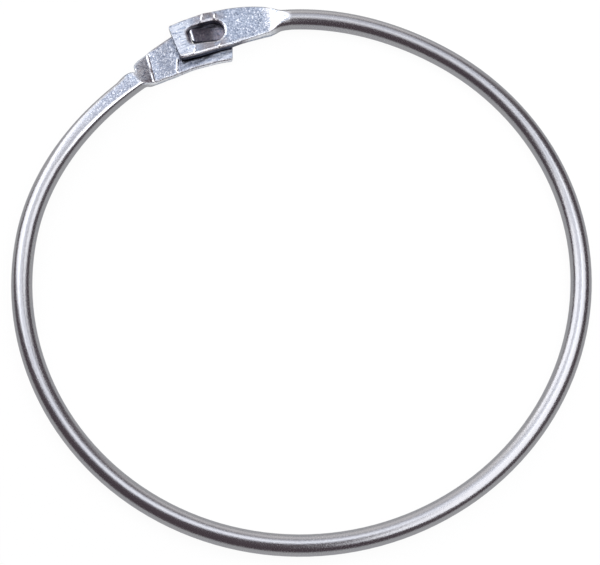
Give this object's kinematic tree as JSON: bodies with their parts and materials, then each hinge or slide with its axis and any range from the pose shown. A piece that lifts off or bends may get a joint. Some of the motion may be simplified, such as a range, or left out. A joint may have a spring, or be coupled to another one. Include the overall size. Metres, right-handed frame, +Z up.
{
  "type": "bib ring",
  "caption": "Round spring wire ring with flattened, lapped ends; a tongue pressed up from the lower end catches in a slot in the upper one.",
  "frame": {"origin": "centre of the ring, on the plane of its underside", "axes": "+Z up out of the ring's plane, the lapped clasp at 111 degrees from +X towards +Y"},
  "size_m": [0.1644, 0.166, 0.006],
  "materials": {
    "plated_wire": "bright zinc plate over drawn spring steel, satin and speckled on the forged ends"
  },
  "bodies": {
    "root": {"wire_ring": "plated_wire"}
  },
  "joints": []
}
